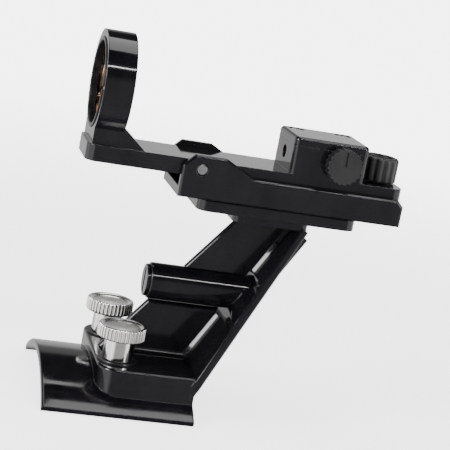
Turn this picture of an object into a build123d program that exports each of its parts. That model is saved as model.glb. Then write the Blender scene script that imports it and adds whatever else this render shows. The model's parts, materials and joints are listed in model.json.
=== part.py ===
from build123d import *
import math
import os

# Red dot finder for a small reflector telescope: a moulded bracket that sits on the tube under two
# thumb nuts, a battery tube through the bracket's web, and an adjustable reflex sight on top.
# X runs along the telescope tube and the sight line, with the sky at -X. Z is up.
# The origin is midway between the two stud holes, on top of the foot's platform.

# Telescope tube that the foot sits on
TUBE_R = 45.0
SADDLE_T = 1.6
PLATFORM_CROWN = 2.4
TUBE_AXIS_Z = -(PLATFORM_CROWN + SADDLE_T + TUBE_R)

# Foot
SADDLE_X0 = -18.8
SADDLE_X1 = 19.8
SADDLE_HALF_ANGLE = 32.5
PLATFORM_X0 = -5.4
PLATFORM_X1 = 19.6
PLATFORM_Y = 40.0
PLATFORM_CORNER_R = 5.6
STUD_PITCH = 23.5
STUD_HOLE_R = 2.6

# Neck: a mid-plane web and a leaning back plate
LEAN = 60.2
PLATE_FOOT_X = 19.4
PLATE_T = 2.2
PLATE_HALF_W_FOOT = 20.6
PLATE_HALF_W_TOP = 8.6
NECK_TOP_Z = 41.0
WEB_T = 2.6
WEB_FRONT_X = -3.5
WEB_FRONT_LEAN = 51.8
PAD_X0 = 24.0
PAD_X1 = 44.0
PAD_HALF_W = 8.4
PAD_T = 2.0

# Battery tube
BARREL_Z = 19.0
BARREL_R = 4.75
BARREL_X0 = 6.6
BARREL_BORE_R = 4.05
BORE_X1 = 24.6
CAP_R = 4.2
CAP_T = 1.0
CAP_PLUG_R = 3.9
CAP_PLUG_LEN = 3.0
CELL_R = 3.95
CELL_LEN = 3.6
CELL_COUNT = 3
CONTACT_T = 0.4
GROOVE_S0 = 14.6
GROOVE_S1 = 28.4
GROOVE_DEPTH = 1.2
WEB_SLOT_Z0 = 14.05
WEB_SLOT_Z1 = 23.95
LEAD_R = 0.6
LEAD_Z = 21.2
SCREW_S = 20.2

# Thumb nuts and washers
WASHER_T = 0.4
WASHER_R = 5.0
WASHER_HOLE_R = 2.7
NUT_BORE_R = 2.15
COLLAR_R = 3.9
COLLAR_LEN = 5.8
KNURL_R = 6.25
KNURL_LEN = 3.4
KNURL_COUNT = 36
DISH_DEPTH = 0.5
NUT_ROOF = 1.3

# Sight base and azimuth pivot
BASE_X0 = 14.0
BASE_X1 = 56.0
BASE_HALF_W = 10.0
BASE_T = 2.8
BASE_Z0 = NECK_TOP_Z
BASE_Z1 = BASE_Z0 + BASE_T
AZ_PIVOT_X = 34.0
AZ_PIN_R = 3.0
AZ_PIN_BORE_R = 1.6
AZ_HEAD_R = 4.6
AZ_SCREW_X = 52.5
AZ_SCREW_Z = 47.6
LUG_GAP = 1.9
LUG_T = 2.6

# Azimuth carriage
CARRIAGE_X0 = 8.0
CARRIAGE_X1 = 67.0
CARRIAGE_HALF_W = 11.5
WALL_T = 2.0
FLOOR_T = 2.4
CARRIAGE_Z0 = BASE_Z1 + 0.3
FLOOR_Z = CARRIAGE_Z0 + FLOOR_T
FRONT_WALL_Z = 55.2
REAR_WALL_Z = 51.0

# Sight body
ALT_PIVOT_X = 13.0
ALT_PIVOT_Z = 51.6
ALT_PIN_R = 1.5
RAIL_X0 = -16.0
RAIL_X1 = 67.0
RAIL_HALF_W = 9.2
RAIL_Z0 = 49.4
RAIL_Z1 = 53.6
WINDOW_X0 = -15.0
WINDOW_X1 = -7.6
WINDOW_Z = 68.0
RING_R = 13.4
LENS_R = 11.4
LENS_T = 2.0
LENS_TILT = 3.0
CLEAR_R = 10.4
HOUSING_X0 = 36.0
HOUSING_X1 = 56.0
HOUSING_Z1 = 61.0
HOUSING_WALL = 1.8
LED_Z = 57.8
LED_R = 1.5
DIAL_X = 49.0
DIAL_Z = 57.8
DIAL_R = 4.6
DIAL_T = 3.4
ALT_SCREW_X = 61.8
SCREW_R = 1.5
KNOB_R = 5.2
KNOB_LEN = 6.4
SPRING_X = 49.0
FIT = 0.05

sin_lean = math.sin(math.radians(LEAN))
cos_lean = math.cos(math.radians(LEAN))


def rod(radius, p, axis, length):
    """A cylinder that starts at p and runs along axis."""
    plane = Plane(origin=p, z_dir=axis)
    return extrude(plane * Circle(radius), amount=length)


def block(x0, x1, y0, y1, z0, z1):
    return Pos((x0 + x1) / 2, (y0 + y1) / 2, (z0 + z1) / 2) * Box(x1 - x0, y1 - y0, z1 - z0)


def side_profile(points, half_width):
    """A plate of the given X-Z outline, centred on the mid-plane."""
    outline = Polyline(*[(x, 0, z) for x, z in points], close=True)
    return extrude(make_face(outline), amount=half_width, dir=(0, 1, 0), both=True)


def soften(solid, radius, pick):
    """Rounds the edges that pick chooses, or leaves them sharp where the kernel can't."""
    edges = [e for e in solid.edges() if pick(e)]
    for size in (radius, radius * 0.6):
        try:
            rounded = fillet(edges, size)
            if rounded.is_valid and rounded.volume > 0:
                return rounded
        except Exception:
            continue
    return solid


def along(edge, axis):
    """True for a straight edge parallel to axis."""
    if edge.geom_type != GeomType.LINE:
        return False
    return abs(edge.tangent_at(0.5).dot(Vector(*axis))) > 0.999


def fluted(radius, p, axis, length, count, depth):
    """A knob body with count round flutes cut along its side."""
    flute_r = math.pi * radius / count * 0.62
    body = rod(radius, p, axis, length)
    plane = Plane(origin=p, z_dir=axis)
    centre = radius + flute_r - depth
    cutters = []
    for i in range(count):
        a = 2 * math.pi * i / count
        spot = plane.from_local_coords(Vector(centre * math.cos(a), centre * math.sin(a), -0.5))
        cutters.append(rod(flute_r, spot, axis, length + 1))
    return body - cutters


# The back plate's own frame: local x is +Y of the finder, local y climbs the plate, z points forward.
plate_plane = Plane(
    origin=(PLATE_FOOT_X, 0, 0), x_dir=(0, 1, 0), z_dir=(-sin_lean, 0, cos_lean)
)
PLATE_TOP_S = (NECK_TOP_Z - PAD_T) / sin_lean
PLATE_FOOT_S = -7.5


def plate_half_width(s):
    share = max(s, 0) / PLATE_TOP_S
    return PLATE_HALF_W_FOOT + (PLATE_HALF_W_TOP - PLATE_HALF_W_FOOT) * share


def on_plate(y, s, out=0.0):
    """A point of the finder from a place on the back plate's front face."""
    return plate_plane.from_local_coords(Vector(y * plate_plane.x_dir.Y, s * plate_up, out))


plate_up = 1 if plate_plane.y_dir.Z > 0 else -1


def plate_slab(points, front, back):
    """A slab on the plate from (half width, climb) points, mirrored about the mid-plane."""
    right = [(y, s * plate_up) for y, s in points]
    left = [(-y, s) for y, s in reversed(right)]
    outline = plate_plane.offset(-back) * Polyline(*(right + left), close=True)
    return extrude(make_face(outline), amount=front + back, dir=plate_plane.z_dir)


def saddle_blank(r0, r1):
    """The ring sector round the telescope tube."""
    reach = math.radians(SADDLE_HALF_ANGLE)
    length = SADDLE_X1 - SADDLE_X0
    ring = rod(r1, (SADDLE_X0, 0, TUBE_AXIS_Z), (1, 0, 0), length)
    ring -= rod(r0, (SADDLE_X0 - 1, 0, TUBE_AXIS_Z), (1, 0, 0), length + 2)
    start = SADDLE_X0 - 1
    side = 2 * r1 * math.sin(reach)
    top = TUBE_AXIS_Z + 2 * r1 * math.cos(reach)
    wedge = Polyline((start, 0, TUBE_AXIS_Z), (start, side, top), (start, -side, top), close=True)
    saddle = ring & extrude(make_face(wedge), amount=length + 2, dir=(1, 0, 0))
    return soften(saddle, 0.5, on_saddle_top_edge)


def on_saddle_top_edge(edge):
    """The outer rims of the saddle's two end faces."""
    p = edge.center()
    if edge.geom_type != GeomType.CIRCLE:
        return False
    return abs(edge.radius - TUBE_R - SADDLE_T) < 1e-3 and not SADDLE_X0 + 1 < p.X < SADDLE_X1 - 1


def platform():
    depth = 14.0
    body = block(PLATFORM_X0, PLATFORM_X1, -PLATFORM_Y / 2, PLATFORM_Y / 2, -depth, 0)
    body = soften(
        body, PLATFORM_CORNER_R, lambda e: along(e, (0, 0, 1)) and e.center().X < 0
    )
    body = soften(body, 0.7, lambda e: abs(e.center().Z) < 1e-6)
    return body - tube_cutter()


def tube_cutter():
    return rod(TUBE_R, (-60, 0, TUBE_AXIS_Z), (1, 0, 0), 130)


def back_plate():
    w0 = PLATE_HALF_W_FOOT
    w1 = PLATE_HALF_W_TOP
    slab = plate_slab([(w0, PLATE_FOOT_S), (w0, 0), (w1, PLATE_TOP_S + 1.0)], 0, PLATE_T)
    slab = soften(slab, 0.5, on_plate_side_edge)
    top = block(-50, 90, -40, 40, NECK_TOP_Z - 0.5, 90)
    toe = block(0, PLATFORM_X1 - 1.2, -40, 40, -20, -2.0)
    return slab - [tube_cutter(), top, toe]


def on_plate_side_edge(edge):
    """The long edges of the plate's front and back faces, above the foot."""
    local = plate_plane.to_local_coords(edge.center())
    on_face = abs(local.Z) < 1e-3 or abs(local.Z + PLATE_T) < 1e-3
    return on_face and local.Y * plate_up > 1 and abs(edge.tangent_at(0.5).Y) < 0.9


def groove_half_width(s):
    return plate_half_width(s) - 0.7


def barrel_groove():
    s0 = GROOVE_S0
    s1 = GROOVE_S1
    return plate_slab([(groove_half_width(s0), s0), (groove_half_width(s1), s1)], 1.0, GROOVE_DEPTH)


def web():
    top_z = NECK_TOP_Z - 0.5
    front_x = WEB_FRONT_X + top_z / math.tan(math.radians(WEB_FRONT_LEAN))
    back_x = PLATE_FOOT_X + top_z * cos_lean / sin_lean
    profile = [
        (WEB_FRONT_X, -1.0),
        (WEB_FRONT_X, 0),
        (front_x, top_z),
        (back_x + 1.0, top_z),
        (PLATE_FOOT_X + 1.0, 0),
        (PLATE_FOOT_X, -1.0),
    ]
    blank = side_profile(profile, WEB_T / 2)
    nose = math.radians(WEB_FRONT_LEAN)
    return soften(blank, 1.1, lambda e: along(e, (math.cos(nose), 0, math.sin(nose))))


def web_foot_fillet():
    """Concave flare between the web and the platform, both sides."""
    r = 1.2
    flare = block(WEB_FRONT_X + 1.0, PLATE_FOOT_X, -WEB_T / 2 - r, WEB_T / 2 + r, -0.5, r)
    for side in (-1, 1):
        y = side * (WEB_T / 2 + r)
        flare -= rod(r, (WEB_FRONT_X, y, r), (1, 0, 0), 40)
    nose = (math.cos(math.radians(WEB_FRONT_LEAN)), 0, math.sin(math.radians(WEB_FRONT_LEAN)))
    front = Plane(origin=(WEB_FRONT_X + 0.8, 0, 0), x_dir=(0, 1, 0), z_dir=(-nose[2], 0, nose[0]))
    flare -= extrude(front * Rectangle(40, 80), amount=30)
    return flare


def junction_strips():
    """Small 45 degree fillets where the web meets the back plate, below and above the barrel."""
    leg = 0.8
    strips = []
    for side in (-1, 1):
        for s0, s1 in ((0.4, GROOVE_S0 - 0.4), (GROOVE_S1 + 0.5, PLATE_TOP_S - 1.0)):
            start = Plane(origin=on_plate(0, s0), x_dir=(0, 1, 0), z_dir=(cos_lean, 0, sin_lean))
            out = 1 if start.y_dir.dot(plate_plane.z_dir) > 0 else -1
            y0 = side * (WEB_T / 2 - 0.2)
            y1 = side * (WEB_T / 2 + leg)
            corners = [(y0, -0.2 * out), (y1, -0.2 * out), (y1, 0), (y0, (leg + 0.2) * out)]
            outline = Polyline(*corners, close=True)
            strips.append(extrude(start * make_face(outline), amount=s1 - s0))
    return strips


def neck_pad():
    pad = block(PAD_X0, PAD_X1, -PAD_HALF_W, PAD_HALF_W, NECK_TOP_Z - PAD_T, NECK_TOP_Z)
    return soften(pad, 2.0, lambda e: along(e, (0, 0, 1)))


def barrel_seat_slot():
    """The gap in the web for the barrel. Its floor is rounded over like the web's nose."""
    r = WEB_T / 2
    gap = block(0, PLATE_FOOT_X + 30, -WEB_T, WEB_T, WEB_SLOT_Z0 - r, WEB_SLOT_Z1)
    return gap - rod(r, (-1, 0, WEB_SLOT_Z0 - r), (1, 0, 0), PLATE_FOOT_X + 32)


def base_screw_places():
    return [(x, y) for x in (28.0, 40.0) for y in (-5.4, 5.4)]


def make_bracket():
    saddle = saddle_blank(TUBE_R, TUBE_R + SADDLE_T)
    slot = barrel_seat_slot() - plate_slab([(60, -20), (60, 90)], 0, 30)
    body = platform() + saddle + back_plate() + (web() - slot) + web_foot_fillet() + neck_pad()
    body += junction_strips()
    body -= barrel_groove()
    for side in (-1, 1):
        body -= rod(STUD_HOLE_R, (0, side * STUD_PITCH / 2, -20), (0, 0, 1), 40)
    body -= lead_hole()
    body -= rod(1.1, on_plate(0, SCREW_S, 2), plate_plane.z_dir * -1, 8)
    for x, y in base_screw_places():
        body -= rod(1.0, (x, y, NECK_TOP_Z - PAD_T - 1), (0, 0, 1), 4)
    body -= rod(LEAD_R + 0.3, (AZ_PIVOT_X, 0, NECK_TOP_Z - PAD_T - 1.0), (0, 0, 1), 4)
    return body


def lead_hole():
    """Way for the lead: out through the plate, up its back, and forward under the sight base."""
    return rod(LEAD_R + 0.25, (BORE_X1 - 1, 0, LEAD_Z), (1, 0, 0), 20)


def make_power_lead():
    start = (BORE_X1 + CONTACT_T + 0.1, 0, LEAD_Z)
    s_high = (NECK_TOP_Z - PAD_T - 2.4) / sin_lean
    high = on_plate(0, s_high, -PLATE_T - 1.4)
    corner_x = high.X - (high.Z - LEAD_Z) * cos_lean / sin_lean
    points = [start, (corner_x, 0, LEAD_Z), (high.X, 0, high.Z)]
    path = FilletPolyline(*points, radius=[3.0])
    return sweep(Plane(origin=start, z_dir=(1, 0, 0)) * Circle(LEAD_R), path=path)


def make_lead_cover():
    """A snap-on strip down the back of the plate, over the lead."""
    s0 = 22.6
    s1 = PLATE_TOP_S - 0.8
    outer = plate_slab([(3.0, s0), (3.0, s1)], -PLATE_T, PLATE_T + 3.4)
    inner = plate_slab([(1.9, s0 + 1.2), (1.9, s1 + 1)], -PLATE_T + 0.5, PLATE_T + 2.4)
    return soften(outer, 0.8, lambda e: e.center().X > 0 and along(e, (cos_lean, 0, sin_lean))) - inner


def make_battery_tube():
    far_x = PLATE_FOOT_X + 32.0
    body = rod(BARREL_R, (BARREL_X0, 0, BARREL_Z), (1, 0, 0), far_x - BARREL_X0)
    body = soften(body, 0.45, lambda e: abs(e.center().X - BARREL_X0) < 1e-3)
    body -= plate_slab([(60, -20), (60, 90)], -GROOVE_DEPTH + 0.05, 60)
    s_low = GROOVE_S0 + 0.25
    s_high = GROOVE_S1 - 0.25
    mid = (GROOVE_S0 + GROOVE_S1) / 2
    flange = plate_slab(
        [
            (BARREL_R * 0.9, mid - 2.6),
            (groove_half_width(s_low) - 0.4, s_low),
            (groove_half_width(s_high) - 0.4, s_high),
            (BARREL_R * 0.9, mid + 2.6),
        ],
        -0.05,
        GROOVE_DEPTH - 0.05,
    )
    body += flange
    body -= rod(BARREL_BORE_R, (BARREL_X0 - 1, 0, BARREL_Z), (1, 0, 0), BORE_X1 - BARREL_X0 + 1)
    body -= rod(LEAD_R + 0.1, (BORE_X1 - 1, 0, LEAD_Z), (1, 0, 0), 20)
    body -= rod(0.9, on_plate(0, SCREW_S, -GROOVE_DEPTH - 0.5), plate_plane.z_dir, 5.0)
    return body


def make_tube_screw():
    head_at = on_plate(0, SCREW_S, -PLATE_T - 1.3)
    screw = rod(1.9, head_at, plate_plane.z_dir, 1.3)
    screw = soften(screw, 0.5, lambda e: (e.center() - head_at).length < 0.1)
    screw += rod(0.85, on_plate(0, SCREW_S, -PLATE_T - 0.1), plate_plane.z_dir, 5.0)
    return screw - rod(0.5, on_plate(0, SCREW_S, -PLATE_T - 1.8), plate_plane.z_dir, 1.2)


def make_battery_cap():
    face_x = BARREL_X0 - CAP_T
    cap = rod(CAP_R, (face_x, 0, BARREL_Z), (1, 0, 0), CAP_T - 0.05)
    cap = soften(cap, 0.3, lambda e: abs(e.center().X - face_x) < 1e-3)
    cap += rod(CAP_PLUG_R, (BARREL_X0 - 0.1, 0, BARREL_Z), (1, 0, 0), CAP_PLUG_LEN)
    return cap - block(face_x - 1, face_x + 0.6, -0.6, 0.6, BARREL_Z - 3.2, BARREL_Z + 3.2)


def contact_x():
    return BORE_X1 - CONTACT_T


def make_battery_contact():
    """The inner contact disc and its solder tag."""
    return rod(3.7, (contact_x(), 0, BARREL_Z), (1, 0, 0), CONTACT_T)


def make_cells():
    first_x = contact_x() - CELL_COUNT * (CELL_LEN + 0.02)
    cells = []
    for i in range(CELL_COUNT):
        x = first_x + i * (CELL_LEN + 0.02)
        cell = rod(CELL_R, (x, 0, BARREL_Z), (1, 0, 0), CELL_LEN)
        cells.append(soften(cell, 0.4, lambda e: e.geom_type == GeomType.CIRCLE))
    return Compound(children=cells)


def coil(radius, wire_r, length, turns):
    """A coil spring along +Z from the origin, as a stack of closed turns joined by a slim spine."""
    pitch = (length - 2 * wire_r) / (turns - 1)
    body = None
    for i in range(turns):
        ring = Pos(0, 0, wire_r + i * pitch) * Torus(radius, wire_r)
        body = ring if body is None else body + ring
    spine = Pos(radius, 0, length / 2) * Cylinder(wire_r * 0.8, length - 2 * wire_r)
    return body + spine


def make_battery_spring():
    x0 = BARREL_X0 + CAP_PLUG_LEN - 0.05
    length = contact_x() - CELL_COUNT * (CELL_LEN + 0.02) - 0.05 - x0
    return Pos(x0, 0, BARREL_Z) * Rot(0, 90, 0) * coil(2.6, 0.3, length, 4)


def make_thumb_nut(side):
    y = side * STUD_PITCH / 2
    z0 = WASHER_T
    z1 = z0 + COLLAR_LEN
    z2 = z1 + KNURL_LEN
    collar = rod(COLLAR_R, (0, y, z0), (0, 0, 1), COLLAR_LEN + 0.1)
    head = rod(KNURL_R, (0, y, z1), (0, 0, 1), KNURL_LEN)
    head = chamfer([e for e in head.edges() if e.geom_type == GeomType.CIRCLE], 0.45)
    for i in range(KNURL_COUNT):
        a = 360 * i / KNURL_COUNT
        cut = Pos(KNURL_R + 0.05, 0, 0) * Rot(0, 0, 45) * Box(0.55, 0.55, KNURL_LEN + 2)
        head -= Pos(0, y, (z1 + z2) / 2) * Rot(0, 0, a) * cut
    head -= Pos(0, y, z2 - DISH_DEPTH) * Cone(
        4.4, 5.3, DISH_DEPTH + 0.01, align=(Align.CENTER, Align.CENTER, Align.MIN)
    )
    nut = collar + head
    return nut - rod(NUT_BORE_R, (0, y, z0 - 1), (0, 0, 1), z2 - NUT_ROOF - z0 + 1)


def make_washers():
    rings = []
    for side in (-1, 1):
        y = side * STUD_PITCH / 2
        ring = rod(WASHER_R, (0, y, 0), (0, 0, 1), WASHER_T)
        rings.append(ring - rod(WASHER_HOLE_R, (0, y, -1), (0, 0, 1), 3))
    return Compound(children=rings)


def make_sight_base():
    body = block(BASE_X0, BASE_X1, -BASE_HALF_W, BASE_HALF_W, BASE_Z0, BASE_Z1)
    body = soften(body, 3.0, lambda e: along(e, (0, 0, 1)))
    lug_y = CARRIAGE_HALF_W + LUG_GAP
    arm = block(49.0, 56.0, BASE_HALF_W - 4, lug_y + LUG_T, BASE_Z0, BASE_Z1)
    lug = block(49.0, 56.0, lug_y, lug_y + LUG_T, BASE_Z0, AZ_SCREW_Z + 3.6)
    lug = soften(lug, 2.8, lambda e: along(e, (0, 1, 0)) and e.center().Z > AZ_SCREW_Z)
    body += [arm, lug]
    body -= rod(SCREW_R + FIT, (AZ_SCREW_X, lug_y - 1, AZ_SCREW_Z), (0, 1, 0), LUG_T + 2)
    body -= rod(AZ_PIN_R, (AZ_PIVOT_X, 0, BASE_Z0 - 1), (0, 0, 1), BASE_T + 2)
    for x, y in base_screw_places():
        body -= rod(1.2, (x, y, BASE_Z0 - 1), (0, 0, 1), 5)
        body -= rod(2.2, (x, y, BASE_Z1 - 1.4), (0, 0, 1), 5)
    return body


def pan_screw(x, y, head_z, head_h, length):
    """A small pan-head screw that points down, its head's top at head_z."""
    screw = rod(1.9, (x, y, head_z - head_h), (0, 0, 1), head_h)
    screw = soften(screw, 0.4, lambda e: abs(e.center().Z - head_z) < 1e-3)
    screw += rod(0.95, (x, y, head_z - head_h - length), (0, 0, 1), length + 0.1)
    return screw - block(x - 1.3, x + 1.3, y - 0.25, y + 0.25, head_z - 0.5, head_z + 1)


def make_base_screws():
    screws = [pan_screw(x, y, BASE_Z1 - 0.2, 1.2, 2.9) for x, y in base_screw_places()]
    return Compound(children=screws)


def make_azimuth_pivot():
    """The hollow shoulder bush that the carriage turns on; the lead comes up through it."""
    pin = rod(AZ_PIN_R, (AZ_PIVOT_X, 0, BASE_Z0 + 0.1), (0, 0, 1), FLOOR_Z + 0.15 - BASE_Z0)
    pin += rod(AZ_HEAD_R, (AZ_PIVOT_X, 0, FLOOR_Z + 0.1), (0, 0, 1), 0.9)
    return pin - rod(AZ_PIN_BORE_R, (AZ_PIVOT_X, 0, BASE_Z0 - 1), (0, 0, 1), 12)


def make_carriage():
    w = CARRIAGE_HALF_W
    outline = [
        (CARRIAGE_X0, CARRIAGE_Z0),
        (CARRIAGE_X0, FRONT_WALL_Z - 3),
        (CARRIAGE_X0 + 3, FRONT_WALL_Z),
        (19.0, FRONT_WALL_Z),
        (27.0, REAR_WALL_Z),
        (CARRIAGE_X1 - 1.5, REAR_WALL_Z),
        (CARRIAGE_X1, REAR_WALL_Z - 1.5),
        (CARRIAGE_X1, CARRIAGE_Z0),
    ]
    body = side_profile(outline, w)
    body = soften(body, 0.8, lambda e: abs(abs(e.center().Y) - w) < 1e-3)
    body -= block(CARRIAGE_X0 - 1, CARRIAGE_X1 + 1, -w + WALL_T, w - WALL_T, FLOOR_Z, 70)
    body -= rod(AZ_PIN_R + FIT, (AZ_PIVOT_X, 0, CARRIAGE_Z0 - 1), (0, 0, 1), 5)
    body -= rod(ALT_PIN_R, (ALT_PIVOT_X, -w - 1, ALT_PIVOT_Z), (0, 1, 0), 2 * w + 2)
    body -= rod(SCREW_R + 0.9, (AZ_SCREW_X, 0, AZ_SCREW_Z), (0, 1, 0), w + 1)
    body -= rod(SCREW_R + 0.6, (ALT_SCREW_X, 0, CARRIAGE_Z0 - 1), (0, 0, 1), 5)
    return body


def make_altitude_pin():
    length = 2 * CARRIAGE_HALF_W - 0.4
    pin = rod(ALT_PIN_R, (ALT_PIVOT_X, -length / 2, ALT_PIVOT_Z), (0, 1, 0), length)
    return chamfer([e for e in pin.edges() if e.geom_type == GeomType.CIRCLE], 0.3)


def knob(p, axis, flutes):
    body = fluted(KNOB_R, p, axis, KNOB_LEN, flutes, 0.45)
    return body - rod(KNOB_R - 1.5, Vector(*p) + Vector(*axis) * (KNOB_LEN - 0.6), axis, 1)


def azimuth_knob_y():
    return CARRIAGE_HALF_W + LUG_GAP + LUG_T + 0.4


def make_azimuth_knob():
    body = knob((AZ_SCREW_X, azimuth_knob_y(), AZ_SCREW_Z), (0, 1, 0), 14)
    return body - rod(SCREW_R, (AZ_SCREW_X, 0, AZ_SCREW_Z), (0, 1, 0), azimuth_knob_y() + 5)


def make_azimuth_screw():
    """Captive in the base's lug; its tip works in the carriage wall."""
    y0 = CARRIAGE_HALF_W - 0.9
    screw = rod(SCREW_R, (AZ_SCREW_X, y0, AZ_SCREW_Z), (0, 1, 0), azimuth_knob_y() + 5 - y0)
    collar_y = CARRIAGE_HALF_W + LUG_GAP - 0.75
    return screw + rod(2.2, (AZ_SCREW_X, collar_y, AZ_SCREW_Z), (0, 1, 0), 0.7)


def window_bore(radius, x0, length):
    """A bore through the window ring, along the sight line."""
    return rod(radius, (x0, 0, WINDOW_Z), (1, 0, 0), length)


def make_sight_body():
    w = RAIL_HALF_W
    rail = block(RAIL_X0, RAIL_X1, -w, w, RAIL_Z0, RAIL_Z1)
    rail = soften(rail, 3.0, lambda e: along(e, (0, 0, 1)))
    depth = WINDOW_X1 - WINDOW_X0
    ring = rod(RING_R, (WINDOW_X0, 0, WINDOW_Z), (1, 0, 0), depth)
    stem_w = 8.4
    stem = side_profile(
        [
            (WINDOW_X0, RAIL_Z1 - 1),
            (WINDOW_X0, WINDOW_Z - 6),
            (WINDOW_X1, WINDOW_Z - 6),
            (WINDOW_X1, RAIL_Z1 + 5),
            (WINDOW_X1 + 6, RAIL_Z1),
            (WINDOW_X1 + 6, RAIL_Z1 - 1),
        ],
        stem_w,
    )
    housing = block(HOUSING_X0, HOUSING_X1, -w, w, RAIL_Z0, HOUSING_Z1)
    housing = soften(housing, 1.6, lambda e: along(e, (0, 0, 1)))
    body = rail + ring + stem + housing
    body -= window_bore(CLEAR_R, WINDOW_X0 - 1, depth + 12)
    body -= window_bore(LENS_R + 0.1, WINDOW_X0 - 1, depth - 1.2)
    t = HOUSING_WALL
    body -= block(HOUSING_X0 + t, HOUSING_X1 - t, -w + t, w - t, RAIL_Z1 - 1.6, 70)
    body -= rod(LED_R + 0.2, (HOUSING_X0 - 1, 0, LED_Z), (1, 0, 0), t + 2)
    body -= rod(ALT_PIN_R + FIT, (ALT_PIVOT_X, -w - 1, ALT_PIVOT_Z), (0, 1, 0), 2 * w + 2)
    body -= rod(SCREW_R + FIT, (ALT_SCREW_X, 0, RAIL_Z0 - 1), (0, 0, 1), 6)
    body -= rod(1.0 + FIT, (DIAL_X, -w - 1, DIAL_Z), (0, 1, 0), 4)
    body -= rod(4.0, (SPRING_X, 0, RAIL_Z0 - 1), (0, 0, 1), 2.2)
    body -= rod(1.0, (AZ_PIVOT_X, 0, RAIL_Z0 - 1), (0, 0, 1), 3)
    body -= block(AZ_PIVOT_X - 1, 46.2, -1.0, 1.0, RAIL_Z0 + 1.4, RAIL_Z0 + 3.2)
    for x, y in cover_screw_places():
        body += rod(2.2, (x, y, RAIL_Z1 - 1.7), (0, 0, 1), HOUSING_Z1 - RAIL_Z1 + 1.7)
        body -= rod(1.0, (x, y, HOUSING_Z1 - 5), (0, 0, 1), 6)
    return body


def cover_screw_places():
    """Two bosses in opposite corners of the emitter housing."""
    return [(39.6, 5.6), (52.4, 5.6)]


def make_emitter_cover():
    x0 = HOUSING_X0
    x1 = HOUSING_X1
    w = RAIL_HALF_W
    cover = block(x0, x1, -w, w, HOUSING_Z1 + 0.02, HOUSING_Z1 + 2.2)
    cover = soften(cover, 1.6, lambda e: along(e, (0, 0, 1)))
    cover = soften(cover, 0.9, lambda e: e.center().Z > HOUSING_Z1 + 2.1)
    lip = HOUSING_WALL + 0.15
    skirt = block(x0 + lip, x1 - lip, -w + lip, 2.6, HOUSING_Z1 - 1.0, HOUSING_Z1 + 0.1)
    skirt -= block(x0 + lip + 1, x1 - lip - 1, -w + lip + 1, 1.6, HOUSING_Z1 - 2, HOUSING_Z1 + 0.02)
    cover += skirt
    for x, y in cover_screw_places():
        cover -= rod(1.1, (x, y, HOUSING_Z1 - 1), (0, 0, 1), 5)
        cover -= rod(2.1, (x, y, HOUSING_Z1 + 0.9), (0, 0, 1), 5)
    return cover


def make_cover_screws():
    screws = [pan_screw(x, y, HOUSING_Z1 + 2.05, 1.1, 4.4) for x, y in cover_screw_places()]
    return Compound(children=screws)


def lens_plane():
    tilt = math.radians(LENS_TILT)
    return Plane(
        origin=(WINDOW_X0 + 3.4, 0, WINDOW_Z), z_dir=(math.cos(tilt), 0, -math.sin(tilt))
    )


def make_window_lens():
    """A meniscus-edged disc, tipped to face the emitter below the sight line."""
    blank = extrude(lens_plane() * Circle(LENS_R - 0.15), amount=LENS_T / 2, both=True)
    return chamfer([e for e in blank.edges() if e.geom_type == GeomType.CIRCLE], 0.25)


def make_window_ring():
    """The threaded ring that keeps the window in its seat."""
    depth = 1.9
    ring = window_bore(LENS_R + 0.02, WINDOW_X0 - 0.3, depth)
    ring -= window_bore(CLEAR_R, WINDOW_X0 - 1, depth + 2)
    ring = soften(ring, 0.35, lambda e: e.center().X < WINDOW_X0 - 0.2)
    for side in (-1, 1):
        ring -= block(WINDOW_X0 - 1, WINDOW_X0 + 0.5, side * 11 - 1.5, side * 11 + 1.5, 67.6, 68.4)
    return ring


def make_led():
    led = rod(LED_R, (HOUSING_X0 + 0.9, 0, LED_Z), (1, 0, 0), 4.6)
    led = soften(led, 1.2, lambda e: e.center().X < HOUSING_X0 + 1)
    return led + rod(1.9, (HOUSING_X0 + 5.0, 0, LED_Z), (1, 0, 0), 1.0)


def make_led_holder():
    x0 = HOUSING_X0 + HOUSING_WALL + 0.1
    holder = block(x0, x0 + 5.0, -3.2, 3.2, RAIL_Z1 - 1.1, HOUSING_Z1 - 1.2)
    holder -= rod(LED_R + 0.02, (x0 - 1, 0, LED_Z), (1, 0, 0), 7)
    return holder - rod(1.95, (HOUSING_X0 + 4.95, 0, LED_Z), (1, 0, 0), 3)


def make_circuit_board():
    board = block(44.2, 51.0, -6.9, 3.2, 53.4, 54.4)
    board += block(44.6, 46.6, -2.6, 0.6, 54.4, 55.2)
    board += block(44.6, 46.0, -0.8, 0.8, 52.4, 53.5)
    return board + block(48.0, 50.4, 0.8, 2.6, 54.4, 55.4)


def make_potentiometer():
    """The brightness control and off switch that the dial turns."""
    return block(45.6, 52.4, -7.2, -4.0, 54.5, 60.0) - rod(1.0, (DIAL_X, -9, DIAL_Z), (0, 1, 0), 3.2)


def make_dial():
    y0 = -RAIL_HALF_W - 0.3
    dial = fluted(DIAL_R, (DIAL_X, y0, DIAL_Z), (0, -1, 0), DIAL_T, 20, 0.3)
    dial -= block(DIAL_X - 0.3, DIAL_X + 0.3, y0 - DIAL_T - 1, y0 - DIAL_T + 0.4, DIAL_Z, DIAL_Z + 3.8)
    return dial + rod(0.98, (DIAL_X, y0 - 1, DIAL_Z), (0, 1, 0), 4.2)


def make_altitude_knob():
    body = knob((ALT_SCREW_X, 0, RAIL_Z1 + 0.3), (0, 0, 1), 14)
    return body - rod(SCREW_R, (ALT_SCREW_X, 0, RAIL_Z1), (0, 0, 1), 5)


def make_altitude_screw():
    """Captive in the sight's tail; its thread works in the carriage floor."""
    low = CARRIAGE_Z0 + 0.2
    screw = rod(SCREW_R, (ALT_SCREW_X, 0, low), (0, 0, 1), RAIL_Z1 + 4.9 - low)
    return screw + rod(2.2, (ALT_SCREW_X, 0, RAIL_Z0 - 0.55), (0, 0, 1), 0.5)


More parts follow.
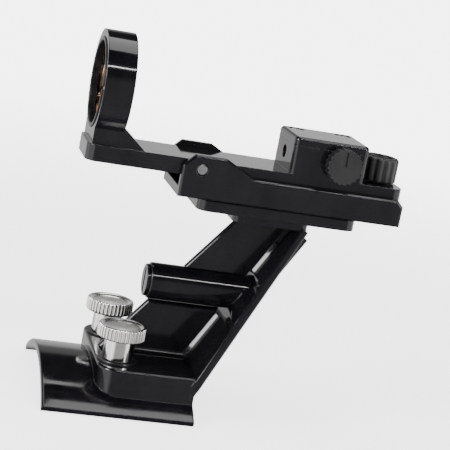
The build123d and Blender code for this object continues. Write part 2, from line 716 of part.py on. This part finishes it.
def make_altitude_spring():
    """Pushes the sight's tail up off the carriage floor."""
    return Pos(SPRING_X, 0, FLOOR_Z + 0.05) * coil(2.9, 0.3, RAIL_Z0 + 1.15 - FLOOR_Z, 4)


def make_sight_lead():
    """From the circuit board down to the mouth of the hollow pivot."""
    z = RAIL_Z0 + 2.3
    points = [(AZ_PIVOT_X, 0, RAIL_Z0 + 0.3), (AZ_PIVOT_X, 0, z), (45.6, 0, z)]
    path = FilletPolyline(*points, radius=[1.2])
    return sweep(Plane(origin=points[0], z_dir=(0, 0, 1)) * Circle(LEAD_R), path=path)


NODES = {
    "mounting_bracket": make_bracket,
    "thumb_nut_front": lambda: make_thumb_nut(-1),
    "thumb_nut_rear": lambda: make_thumb_nut(1),
    "stud_washers": make_washers,
    "battery_tube": make_battery_tube,
    "battery_cap": make_battery_cap,
    "battery_spring": make_battery_spring,
    "button_cells": make_cells,
    "battery_contact": make_battery_contact,
    "tube_screw": make_tube_screw,
    "power_lead": make_power_lead,
    "lead_cover": make_lead_cover,
    "sight_base": make_sight_base,
    "base_screws": make_base_screws,
    "azimuth_pivot": make_azimuth_pivot,
    "azimuth_carriage": make_carriage,
    "azimuth_knob": make_azimuth_knob,
    "azimuth_screw": make_azimuth_screw,
    "altitude_pin": make_altitude_pin,
    "altitude_spring": make_altitude_spring,
    "sight_body": make_sight_body,
    "window_lens": make_window_lens,
    "window_ring": make_window_ring,
    "emitter_cover": make_emitter_cover,
    "cover_screws": make_cover_screws,
    "led": make_led,
    "led_holder": make_led_holder,
    "circuit_board": make_circuit_board,
    "potentiometer": make_potentiometer,
    "brightness_dial": make_dial,
    "altitude_knob": make_altitude_knob,
    "altitude_screw": make_altitude_screw,
    "sight_lead": make_sight_lead,
}

os.makedirs("parts", exist_ok=True)
for name, make in NODES.items():
    shape = make()
    export_step(shape, f"parts/{name}.step")
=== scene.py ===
import json
import math

import bmesh
import bpy
from mathutils import Matrix, Vector


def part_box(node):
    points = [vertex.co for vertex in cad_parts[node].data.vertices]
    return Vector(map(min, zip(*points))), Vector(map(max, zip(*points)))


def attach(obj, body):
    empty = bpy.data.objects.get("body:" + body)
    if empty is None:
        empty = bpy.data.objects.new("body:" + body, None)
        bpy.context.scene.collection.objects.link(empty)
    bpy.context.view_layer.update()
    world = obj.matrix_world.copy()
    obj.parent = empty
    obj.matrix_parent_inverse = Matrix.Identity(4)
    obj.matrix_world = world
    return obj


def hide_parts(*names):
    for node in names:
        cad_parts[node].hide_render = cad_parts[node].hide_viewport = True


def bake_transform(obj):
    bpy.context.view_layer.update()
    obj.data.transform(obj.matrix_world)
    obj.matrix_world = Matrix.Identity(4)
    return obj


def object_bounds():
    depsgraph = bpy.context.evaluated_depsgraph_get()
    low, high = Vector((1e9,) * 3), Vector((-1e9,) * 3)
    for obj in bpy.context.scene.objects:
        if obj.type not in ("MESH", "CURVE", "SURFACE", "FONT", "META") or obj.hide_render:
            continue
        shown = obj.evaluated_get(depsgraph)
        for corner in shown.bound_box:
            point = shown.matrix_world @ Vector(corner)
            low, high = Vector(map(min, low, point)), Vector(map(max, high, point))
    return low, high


MM = 0.001
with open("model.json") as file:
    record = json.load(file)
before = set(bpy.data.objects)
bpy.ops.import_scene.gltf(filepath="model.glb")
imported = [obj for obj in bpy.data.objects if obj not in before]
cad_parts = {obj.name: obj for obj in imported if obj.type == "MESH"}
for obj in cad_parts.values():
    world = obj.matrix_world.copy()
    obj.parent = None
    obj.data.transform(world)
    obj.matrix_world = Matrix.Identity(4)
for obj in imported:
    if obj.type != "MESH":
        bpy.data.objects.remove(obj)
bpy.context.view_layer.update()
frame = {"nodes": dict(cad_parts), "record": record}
nodes = frame["nodes"]

# ---------------------------------------------------------------- materials


class Surface:
    """A node material built up on one Principled shader, in metres of the object's own space."""

    def __init__(self, name):
        self.material = bpy.data.materials.new(name)
        self.material.use_nodes = True
        self.tree = self.material.node_tree
        self.shader = self.tree.nodes["Principled BSDF"]
        self.coords = self.tree.nodes.new("ShaderNodeTexCoord").outputs["Object"]

    def node(self, kind, **settings):
        made = self.tree.nodes.new(kind)
        for key, value in settings.items():
            setattr(made, key, value)
        return made

    def link(self, a, b):
        self.tree.links.new(a, b)

    def scaled(self, sx=1.0, sy=1.0, sz=1.0):
        mapping = self.node("ShaderNodeMapping")
        mapping.inputs["Scale"].default_value = (sx, sy, sz)
        self.link(self.coords, mapping.inputs["Vector"])
        return mapping.outputs["Vector"]

    def noise(self, scale, detail=3.0, rough=0.55, vector=None):
        tex = self.node("ShaderNodeTexNoise")
        tex.inputs["Scale"].default_value = scale
        tex.inputs["Detail"].default_value = detail
        tex.inputs["Roughness"].default_value = rough
        self.link(vector or self.coords, tex.inputs["Vector"])
        return tex.outputs["Fac"]

    def span(self, value, low, high, from_low=0.3, from_high=0.7):
        ranged = self.node("ShaderNodeMapRange")
        ranged.inputs["From Min"].default_value = from_low
        ranged.inputs["From Max"].default_value = from_high
        ranged.inputs["To Min"].default_value = low
        ranged.inputs["To Max"].default_value = high
        self.link(value, ranged.inputs["Value"])
        return ranged.outputs["Result"]

    def colour(self, value, *stops):
        ramp = self.node("ShaderNodeValToRGB")
        places = ramp.color_ramp.elements
        while len(places) < len(stops):
            places.new(0.5)
        for place, (at, rgb) in zip(places, stops):
            place.position = at
            place.color = (*rgb, 1.0)
        self.link(value, ramp.inputs["Fac"])
        self.link(ramp.outputs["Color"], self.shader.inputs["Base Color"])
        return ramp.outputs["Color"]

    def rough(self, value, low, high):
        self.link(self.span(value, low, high), self.shader.inputs["Roughness"])

    def relief(self, value, depth_mm, strength=1.0, under=None):
        bump = self.node("ShaderNodeBump")
        bump.inputs["Strength"].default_value = strength
        bump.inputs["Distance"].default_value = depth_mm * MM
        self.link(value, bump.inputs["Height"])
        if under is not None:
            self.link(under, bump.inputs["Normal"])
        self.link(bump.outputs["Normal"], self.shader.inputs["Normal"])
        return bump.outputs["Normal"]

    def rounded(self, radius_mm):
        bevel = self.node("ShaderNodeBevel", samples=6)
        bevel.inputs["Radius"].default_value = radius_mm * MM
        self.link(bevel.outputs["Normal"], self.shader.inputs["Normal"])
        return bevel.outputs["Normal"]

    def put(self, **values):
        for key, value in values.items():
            self.shader.inputs[key.replace("_", " ")].default_value = value
        return self


def moulded(name, dark, light, rough_low, rough_high, grain_mm, grain_scale, edge_mm=0.22):
    """Injection-moulded plastic: faint flow marks, a fine skin and slightly rounded edges."""
    s = Surface(name)
    flow = s.noise(140, 4, 0.6, s.scaled(1.0, 1.0, 0.45))
    skin = s.noise(grain_scale, 3, 0.5)
    s.colour(flow, (0.3, dark), (0.75, light))
    s.rough(flow, rough_low, rough_high)
    edges = s.rounded(edge_mm)
    wavy = s.relief(s.noise(220, 2), 0.012, 1.0, edges)
    s.relief(skin, grain_mm, 1.0, wavy)
    s.put(IOR=1.5)
    return s


def metal(name, dark, light, rough_low, rough_high, scratch_scale=(900, 900, 60), depth=0.004):
    """Bare metal: blotches in colour and gloss, and fine scratches along the object's Z."""
    s = Surface(name)
    s.put(Metallic=1.0)
    streak = s.noise(1.0, 4, 0.65, s.scaled(*scratch_scale))
    blotch = s.noise(260, 4, 0.6)
    s.colour(blotch, (0.3, dark), (0.7, light))
    s.rough(blotch, rough_low, rough_high)
    s.relief(streak, depth, 1.0, s.rounded(0.12))
    return s


GLOSS = moulded(
    "black_plastic", (0.0028, 0.0026, 0.0036), (0.0068, 0.006, 0.008), 0.06, 0.12, 0.0011, 2600, 0.35
)
KNOB = moulded(
    "knob_plastic", (0.009, 0.009, 0.0095), (0.018, 0.018, 0.019), 0.34, 0.46, 0.008, 3800
)
MATTE = moulded(
    "matte_black", (0.008, 0.008, 0.008), (0.016, 0.016, 0.016), 0.5, 0.62, 0.012, 3000
)
DARK_METAL = metal("black_metal", (0.012, 0.012, 0.014), (0.028, 0.028, 0.03), 0.28, 0.42)
DARK_METAL.put(Metallic=0.6)  # oxide over steel
STEEL = metal("steel", (0.46, 0.46, 0.47), (0.62, 0.62, 0.63), 0.24, 0.4)
BRASS = metal("brass", (0.6, 0.45, 0.2), (0.75, 0.6, 0.32), 0.25, 0.4)


def turned_nickel():
    """A faced end: circular tool marks round the nut's own axis."""
    s = Surface("nickel_faced")
    s.put(Metallic=1.0, Anisotropic=0.78)
    blotch = s.noise(300, 4, 0.6)
    s.colour(blotch, (0.3, (0.78, 0.77, 0.745)), (0.7, (0.9, 0.89, 0.865)))
    s.rough(blotch, 0.2, 0.27)
    tangent = s.node("ShaderNodeTangent", direction_type="RADIAL", axis="Z")
    s.link(tangent.outputs["Tangent"], s.shader.inputs["Tangent"])
    split = s.node("ShaderNodeSeparateXYZ")
    s.link(s.coords, split.inputs["Vector"])
    ring = s.node("ShaderNodeVectorMath", operation="LENGTH")
    flat = s.node("ShaderNodeCombineXYZ")
    s.link(split.outputs["X"], flat.inputs["X"])
    s.link(split.outputs["Y"], flat.inputs["Y"])
    s.link(flat.outputs["Vector"], ring.inputs["Vector"])
    grooves = s.node("ShaderNodeTexNoise", noise_dimensions="1D")
    grooves.inputs["Scale"].default_value = 4200
    grooves.inputs["Detail"].default_value = 3
    s.link(ring.outputs["Value"], grooves.inputs["W"])
    s.relief(grooves.outputs["Fac"], 0.006, 0.8, s.rounded(0.1))
    return s


NICKEL = metal("nickel", (0.8, 0.79, 0.765), (0.93, 0.92, 0.9), 0.09, 0.17, (500, 500, 90), 0.003)
FACED = turned_nickel()


def insulation():
    """Dull red rubber on the two leads."""
    s = Surface("lead_rubber")
    grain = s.noise(1800, 4)
    s.colour(grain, (0.3, (0.05, 0.006, 0.005)), (0.7, (0.09, 0.012, 0.01)))
    s.rough(grain, 0.45, 0.6)
    s.relief(grain, 0.01)
    return s


def board():
    """Solder mask with the faint relief of copper tracks under it."""
    s = Surface("board_green")
    tracks = s.node("ShaderNodeTexBrick", offset=0.5)
    tracks.inputs["Scale"].default_value = 420
    tracks.inputs["Mortar Size"].default_value = 0.06
    s.link(s.coords, tracks.inputs["Vector"])
    grain = s.noise(1500, 3)
    s.colour(tracks.outputs["Fac"], (0.2, (0.012, 0.11, 0.045)), (0.8, (0.03, 0.2, 0.085)))
    s.rough(grain, 0.28, 0.42)
    s.relief(tracks.outputs["Fac"], 0.03)
    return s


def coated_glass():
    """Clear window with a thin partly reflecting coat."""
    s = Surface("coated_glass")
    haze = s.noise(180, 3)
    s.colour(haze, (0.3, (0.84, 0.95, 0.97)), (0.7, (0.93, 0.99, 1.0)))
    s.rough(haze, 0.015, 0.04)
    s.put(IOR=1.5, Transmission_Weight=1.0, Coat_Weight=0.6, Coat_Roughness=0.03)
    s.put(Coat_Tint=(1.0, 0.72, 0.55, 1.0), Specular_Tint=(1.0, 0.78, 0.62, 1.0))
    s.put(Specular_IOR_Level=0.9)
    return s


def red_lens():
    """Clear red epoxy of the emitter."""
    s = Surface("red_lens")
    cloud = s.noise(700, 3)
    s.colour(cloud, (0.3, (0.42, 0.004, 0.004)), (0.7, (0.7, 0.015, 0.01)))
    s.rough(cloud, 0.06, 0.12)
    s.put(Transmission_Weight=0.35, IOR=1.5)
    return s


SLOTS = {
    "black_plastic": GLOSS,
    "knob_plastic": KNOB,
    "matte_black": MATTE,
    "nickel": NICKEL,
    "black_metal": DARK_METAL,
    "steel": STEEL,
    "brass": BRASS,
    "lead_rubber": insulation(),
    "coated_glass": coated_glass(),
    "red_lens": red_lens(),
    "board_green": board(),
}

slot_of = {p["node"]: p["material_slot"] for p in frame["record"]["subparts"]}
for name, obj in nodes.items():
    obj.data.materials.clear()
    obj.data.materials.append(SLOTS[slot_of[name]].material)

# ---------------------------------------------------------------- new meshes


def finish_piece(obj, slot, body, replaced, angle):
    """Gives a new piece its material, body and slot. A piece given no body stays unparented."""
    obj.data.materials.append(SLOTS[slot].material)
    for face in obj.data.polygons:
        face.use_smooth = True
    obj.data.set_sharp_from_angle(angle=math.radians(angle))
    if body:
        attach(obj, body)
    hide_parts(*replaced)
    return obj


def mesh_object(name, bm, at=(0, 0, 0)):
    bmesh.ops.recalc_face_normals(bm, faces=bm.faces)
    mesh = bpy.data.meshes.new(name)
    bm.to_mesh(mesh)
    bm.free()
    obj = bpy.data.objects.new(name, mesh)
    bpy.context.scene.collection.objects.link(obj)
    obj.location = at
    return obj


def turned(name, rows, segments, shape=None, at=(0, 0, 0), axis="Z"):
    """A closed body turned about its local axis from (radius, height, share) rows in millimetres.
    shape(angle) gives how far the radius dips, in millimetres; share scales that dip on each row."""
    bm = bmesh.new()
    rings = []
    for radius, height, share in rows:
        if radius < 1e-6:
            rings.append([bm.verts.new((0, 0, height * MM))])
            continue
        ring = []
        for i in range(segments):
            a = 2 * math.pi * i / segments
            r = (radius - (shape(a) * share if shape else 0)) * MM
            ring.append(bm.verts.new((r * math.cos(a), r * math.sin(a), height * MM)))
        rings.append(ring)
    for lower, upper in zip(rings, rings[1:]):
        for i in range(segments):
            j = (i + 1) % segments
            if len(lower) == 1:
                bm.faces.new((lower[0], upper[j], upper[i]))
            elif len(upper) == 1:
                bm.faces.new((lower[i], lower[j], upper[0]))
            else:
                bm.faces.new((lower[i], lower[j], upper[j], upper[i]))
    if axis == "X":
        bmesh.ops.rotate(bm, verts=bm.verts, matrix=Matrix.Rotation(math.radians(90), 3, "Y"))
    elif axis == "Y":
        bmesh.ops.rotate(bm, verts=bm.verts, matrix=Matrix.Rotation(math.radians(-90), 3, "X"))
    return mesh_object(name, bm, at)


def round_corner(r0, h0, r1, h1, r2, h2, share0, share2, steps=4):
    """Rows that round the corner at (r1, h1), from (r0, h0) to (r2, h2), as a parabola."""
    rows = []
    for i in range(steps + 1):
        t = i / steps
        a = (1 - t) ** 2
        b = 2 * t * (1 - t)
        c = t * t
        share = share0 * (1 - t) + share2 * t
        rows.append((a * r0 + b * r1 + c * r2, a * h0 + b * h1 + c * h2, share))
    return rows


def teeth(count, depth, sharp):
    """A straight knurl: a sharp valley between rounded crests."""

    def dip(a):
        phase = (a * count / (2 * math.pi)) % 1.0
        return depth * (1 - abs(math.sin(math.pi * phase)) ** sharp)

    return dip


NUT_TEETH = 36
NUT_TOOTH_DEPTH = 0.5
NUT_SEGMENTS = 288
NUT_BORE_R = 2.15
NUT_COLLAR_R = 3.9
NUT_HEAD = 3.4
NUT_DISH = 0.55


def thumb_nut(node, body):
    """A high knurled nut on a smooth collar, with a shallow dish turned in its top."""
    lo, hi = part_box(node)
    r = (hi.x - lo.x) / 2 / MM
    height = (hi.z - lo.z) / MM
    collar = NUT_COLLAR_R
    knee = height - NUT_HEAD
    floor = height - NUT_DISH
    roof = height - 1.5
    rows = [(0, roof, 0), (NUT_BORE_R, roof, 0), (NUT_BORE_R, 0.25, 0), (2.4, 0, 0)]
    rows += round_corner(collar - 0.4, 0, collar, 0, collar, 0.4, 0, 0)
    rows += [(collar, knee - 0.5, 0)]
    rows += round_corner(collar, knee - 0.5, collar, knee, collar + 0.5, knee, 0, 0)
    rows += [(r - 0.75, knee, 0)]
    rows += round_corner(r - 0.55, knee + 0.02, r, knee + 0.1, r, knee + 0.6, 0.15, 1)
    rows += [(r, knee + NUT_HEAD * 0.5, 1)]
    rows += round_corner(r, height - 0.6, r, height, r - 0.55, height, 1, 0.1)
    rows += [(r - 0.8, height - 0.02, 0)]
    rows += round_corner(r - 0.95, height - 0.03, r - 1.2, height - 0.1, r - 1.5, floor, 0, 0)
    rows += [(3.2, floor - 0.1, 0), (1.5, floor - 0.22, 0), (0.3, floor - 0.3, 0)]
    rows += [(0, floor - 0.3, 0)]
    at = ((lo.x + hi.x) / 2, (lo.y + hi.y) / 2, lo.z)
    knurl = teeth(NUT_TEETH, NUT_TOOTH_DEPTH, 0.7)
    nut = turned(f"nut_{body}", rows, NUT_SEGMENTS, knurl, at)
    finish_piece(nut, "nickel", body, [node], 40)
    nut.data.materials.append(FACED.material)
    for face in nut.data.polygons:
        if face.center.z > (height - 0.9) * MM and face.center.xy.length < (r - 0.9) * MM:
            face.material_index = 1


thumb_nut("thumb_nut_front", "front_nut")
thumb_nut("thumb_nut_rear", "rear_nut")


KNOB_FLUTES = 14
KNOB_FLUTE_DEPTH = 0.45
KNOB_BORE_R = 1.5


def control_knob(node, body, axis, start, length, radius):
    """start is the knob's hidden end; the body is turned away from it along axis."""
    bore = KNOB_BORE_R
    rim = radius - 1.6
    rows = [(bore, length - 0.9, 0), (bore, 0, 0), (radius - 0.7, 0, 0.2)]
    rows += round_corner(radius - 0.5, 0, radius, 0, radius, 0.5, 0.4, 1)
    rows += [(radius, length * 0.5, 1)]
    rows += round_corner(radius, length - 0.9, radius, length, radius - 0.9, length, 1, 0.3, 6)
    rows += [(radius - 1.3, length, 0)]
    rows += round_corner(radius - 1.4, length, rim, length, rim, length - 0.3, 0, 0)
    rows += round_corner(rim, length - 0.5, rim, length - 0.7, radius - 1.8, length - 0.7, 0, 0)
    rows += [(bore, length - 0.7, 0), (bore, length - 0.9, 0)]

    def flutes(a):
        return KNOB_FLUTE_DEPTH * (0.5 - 0.5 * math.cos(a * KNOB_FLUTES)) ** 1.6

    made = turned(f"grip_{node}", rows, KNOB_FLUTES * 14, flutes, start, axis)
    finish_piece(made, "knob_plastic", body, [node], 40)


def centre_of(node):
    lo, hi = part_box(node)
    return (lo + hi) / 2, lo, hi


mid, lo, hi = centre_of("azimuth_knob")
start = (mid.x, lo.y, mid.z)
length = (hi.y - lo.y) / MM
control_knob("azimuth_knob", "azimuth_adjuster", "Y", start, length, (hi.x - lo.x) / 2 / MM)

mid, lo, hi = centre_of("altitude_knob")
start = (mid.x, mid.y, lo.z)
length = (hi.z - lo.z) / MM
control_knob("altitude_knob", "altitude_adjuster", "Z", start, length, (hi.y - lo.y) / 2 / MM)


WIRE_SIDES = 10


def helix(name, radius, wire, length, turns, at, axis="Z"):
    """A round-wire compression spring with closed ends. Its sizes are in millimetres; wire is
    the wire's radius."""
    bm = bmesh.new()
    steps = int(turns * 40)
    rings = []
    for i in range(steps + 1):
        t = i / steps
        a = 2 * math.pi * turns * t
        rise = min(max((t * turns - 0.75) / (turns - 1.5), 0.0), 1.0)
        rise = rise * 0.94 + 0.06 * t
        z = wire + (length - 2 * wire) * rise
        centre = Vector((radius * math.cos(a), radius * math.sin(a), z)) * MM
        out = Vector((math.cos(a), math.sin(a), 0))
        up = Vector((0, 0, 1))
        ring = []
        for k in range(WIRE_SIDES):
            b = 2 * math.pi * k / WIRE_SIDES
            ring.append(bm.verts.new(centre + (out * math.cos(b) + up * math.sin(b)) * wire * MM))
        rings.append(ring)
    for p, q in zip(rings, rings[1:]):
        for k in range(WIRE_SIDES):
            m = (k + 1) % WIRE_SIDES
            bm.faces.new((p[k], q[k], q[m], p[m]))
    bm.faces.new(rings[0])
    bm.faces.new(rings[-1][::-1])
    if axis == "X":
        bmesh.ops.rotate(bm, verts=bm.verts, matrix=Matrix.Rotation(math.radians(90), 3, "Y"))
    return mesh_object(name, bm, at)


mid, lo, hi = centre_of("altitude_spring")
spring = helix("altitude_coil", 2.9, 0.28, (hi.z - lo.z) / MM, 5, (mid.x, 0, lo.z))
finish_piece(spring, "steel", None, ["altitude_spring"], 60)
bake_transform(spring)

mid, lo, hi = centre_of("battery_spring")
coil = helix("battery_coil", 2.6, 0.26, (hi.x - lo.x) / MM, 4.5, (lo.x, 0, mid.z), "X")
finish_piece(coil, "steel", "bracket", ["battery_spring"], 60)


LENS_RADIUS = 11.25
LENS_HALF = 1.0
LENS_BOW_FRONT = 0.225
LENS_BOW_REAR = 0.045
LENS_GROUND_EDGE = 0.3
LENS_TILT = math.radians(3.0)
LENS_RINGS = 12


def window():
    """A disc with one clearly hollow face, one nearly flat, and a ground edge."""
    mid, _, _ = centre_of("window_lens")
    radii = [(LENS_RADIUS - LENS_GROUND_EDGE) * i / LENS_RINGS for i in range(LENS_RINGS + 1)]

    def dome(r):
        return 1 - (r / LENS_RADIUS) ** 2

    rows = [(r, -LENS_HALF + LENS_BOW_FRONT * dome(r), 0) for r in radii]
    rows += [(LENS_RADIUS, -LENS_HALF + 0.25, 0), (LENS_RADIUS, LENS_HALF - 0.25, 0)]
    rows += [(r, LENS_HALF - LENS_BOW_REAR * dome(r), 0) for r in reversed(radii)]
    lens = turned("window_disc", rows, 128, axis="X")
    lens.rotation_euler = (0, LENS_TILT, 0)
    lens.location = mid
    finish_piece(lens, "coated_glass", "sight", ["window_lens"], 30)


window()


LED_R = 1.5
LED_FLANGE_R = 1.9


def lamp():
    """A domed LED with its flange."""
    mid, lo, hi = centre_of("led")
    length = (hi.x - lo.x) / MM
    rows = [(0, 0, 0)]
    for i in range(1, 9):
        a = math.radians(90) * i / 8
        rows.append((LED_R * math.sin(a), LED_R * (1 - math.cos(a)), 0))
    rows += [(LED_R, length - 1.0, 0), (LED_FLANGE_R, length - 1.0, 0)]
    rows += [(LED_FLANGE_R, length - 0.1, 0), (LED_FLANGE_R - 0.1, length, 0), (0, length, 0)]
    led = turned("led_dome", rows, 64, at=(lo.x, mid.y, mid.z), axis="X")
    finish_piece(led, "red_lens", "sight", ["led"], 30)


lamp()

# ---------------------------------------------------------------- stage, light and camera

lo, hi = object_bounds()
FLOOR_Z = lo.z
FLOOR_GLOW = 2.6
FLOOR_R = 1.6
FADE_FROM = 0.12
FADE_TO = 0.6


def pale_floor():
    """White paper that fades into the white background, and isn't seen in reflections."""
    bm = bmesh.new()
    bmesh.ops.create_circle(bm, cap_ends=True, radius=FLOOR_R, segments=96)
    floor = mesh_object("floor", bm, (0.02, 0, FLOOR_Z - 0.0001))
    s = Surface("floor_paper")
    grain = s.noise(60, 3)
    s.colour(grain, (0.3, (0.86, 0.86, 0.86)), (0.7, (0.9, 0.9, 0.9)))
    s.put(Roughness=0.85, Emission_Color=(1, 1, 1, 1), Emission_Strength=FLOOR_GLOW)
    far = s.node("ShaderNodeVectorMath", operation="LENGTH")
    s.link(s.coords, far.inputs[0])
    fade = s.node("ShaderNodeMapRange", interpolation_type="SMOOTHSTEP")
    fade.inputs["From Min"].default_value = FADE_FROM
    fade.inputs["From Max"].default_value = FADE_TO
    fade.inputs["To Min"].default_value = 1.0
    fade.inputs["To Max"].default_value = 0.0
    s.link(far.outputs["Value"], fade.inputs["Value"])
    s.link(fade.outputs["Result"], s.shader.inputs["Alpha"])
    floor.data.materials.append(s.material)
    floor.visible_glossy = False


pale_floor()


PAPER_WHITE = 7.0
ROOM_DARK = 0.06
# Each card is its brightness, then its limits: axis, from, to, and True where it ends there.
CARDS = (
    (1.1, ("Y", 0.15, 0.4), ("Z", 0.14, 0.26, True), ("Z", -0.75, -0.6)),
    (2.0, ("X", -0.78, -0.5, True), ("Y", 0.3, 0.6, True), ("Z", 0.4, 0.62, True), ("Z", -0.8, -0.5)),
    (1.6, ("X", 0.55, 0.75), ("Y", 0.3, 0.6, True), ("Z", 0.3, 0.5, True), ("Z", -0.8, -0.5)),
    (0.45, ("Y", -0.5, -0.2, True), ("Z", 0.2, 0.45, True)),
    (0.45, ("Y", 0.3, 0.6), ("Z", 0.4, 0.5, True), ("Z", 0.12, 0.22)),
)


def studio_world():
    """White to the eye; in reflections a dark room with the white cards."""
    world = bpy.data.worlds.new("studio")
    bpy.context.scene.world = world
    world.use_nodes = True
    tree = world.node_tree
    tree.nodes.clear()
    out = tree.nodes.new("ShaderNodeOutputWorld")
    seen = tree.nodes.new("ShaderNodeBackground")
    seen.inputs["Strength"].default_value = PAPER_WHITE
    room = tree.nodes.new("ShaderNodeBackground")
    coord = tree.nodes.new("ShaderNodeTexCoord")
    split = tree.nodes.new("ShaderNodeSeparateXYZ")
    tree.links.new(coord.outputs["Generated"], split.inputs["Vector"])

    def step(axis, low, high, flip=False):
        ranged = tree.nodes.new("ShaderNodeMapRange")
        ranged.interpolation_type = "SMOOTHSTEP"
        ranged.inputs["From Min"].default_value = low
        ranged.inputs["From Max"].default_value = high
        ranged.inputs["To Min"].default_value = 1.0 if flip else 0.0
        ranged.inputs["To Max"].default_value = 0.0 if flip else 1.0
        tree.links.new(split.outputs[axis], ranged.inputs["Value"])
        return ranged.outputs["Result"]

    def combine(operation, a, b):
        maths = tree.nodes.new("ShaderNodeMath")
        maths.operation = operation
        for socket, value in zip(maths.inputs, (a, b)):
            if isinstance(value, float):
                socket.default_value = value
            else:
                tree.links.new(value, socket)
        return maths.outputs["Value"]

    total = ROOM_DARK
    for bright, *limits in CARDS:
        card = bright
        for limit in limits:
            card = combine("MULTIPLY", step(*limit), card)
        total = combine("ADD", card, total)
    tree.links.new(total, room.inputs["Strength"])
    path = tree.nodes.new("ShaderNodeLightPath")
    mix = tree.nodes.new("ShaderNodeMixShader")
    tree.links.new(path.outputs["Is Camera Ray"], mix.inputs["Fac"])
    tree.links.new(room.outputs["Background"], mix.inputs[1])
    tree.links.new(seen.outputs["Background"], mix.inputs[2])
    tree.links.new(mix.outputs["Shader"], out.inputs["Surface"])


studio_world()


def softbox(name, at, aim, size, power):
    data = bpy.data.lights.new(name, "AREA")
    data.shape = "RECTANGLE"
    data.size, data.size_y = size
    data.energy = power
    lamp_obj = bpy.data.objects.new(name, data)
    bpy.context.scene.collection.objects.link(lamp_obj)
    lamp_obj.location = at
    lamp_obj.rotation_mode = "QUATERNION"
    lamp_obj.rotation_quaternion = (Vector(aim) - Vector(at)).to_track_quat("-Z", "Y")
    lamp_obj.visible_camera = False


AIM = ((lo.x + hi.x) / 2, 0, 0.03)
softbox("overhead", (0.13, 0.13, 0.8), AIM, (0.8, 0.42), 4.0)
softbox("strip", (0.16, -0.55, 0.6), AIM, (0.7, 0.02), 2.5)
softbox("left_key", (-0.75, -0.3, 0.42), AIM, (0.3, 0.4), 7.0)
softbox("right_fill", (0.6, -0.5, 0.3), AIM, (0.1, 0.4), 2.0)

# The photo's camera: its place, and the directions of its picture's right, up and depth.
CAMERA_AT = Vector((-70.25, -383.37, 115.95)) * MM
RIGHT = Vector((0.9208, -0.3216, 0.2206))
UP = Vector((-0.0740, 0.4113, 0.9085))
FORWARD = Vector((0.3829, 0.8529, -0.3549))
LENS_MM = 124.0
LOOK_AT = Vector(((lo.x + hi.x) / 2, (lo.y + hi.y) / 2, (lo.z + hi.z) / 2 + 0.001))


def photo_camera():
    """The photo's camera, turned the shortest way to aim at the object's centre."""
    data = bpy.data.cameras.new("camera")
    data.sensor_width = 36.0
    data.lens = LENS_MM
    data.clip_start = 0.02
    data.clip_end = 20
    camera = bpy.data.objects.new("camera", data)
    bpy.context.scene.collection.objects.link(camera)
    wanted = (LOOK_AT - CAMERA_AT).normalized()
    turn = FORWARD.normalized().rotation_difference(wanted).to_matrix()
    pose = turn @ Matrix((RIGHT, UP, -FORWARD)).transposed()
    camera.matrix_world = Matrix.Translation(CAMERA_AT) @ pose.to_4x4()
    bpy.context.scene.camera = camera


photo_camera()
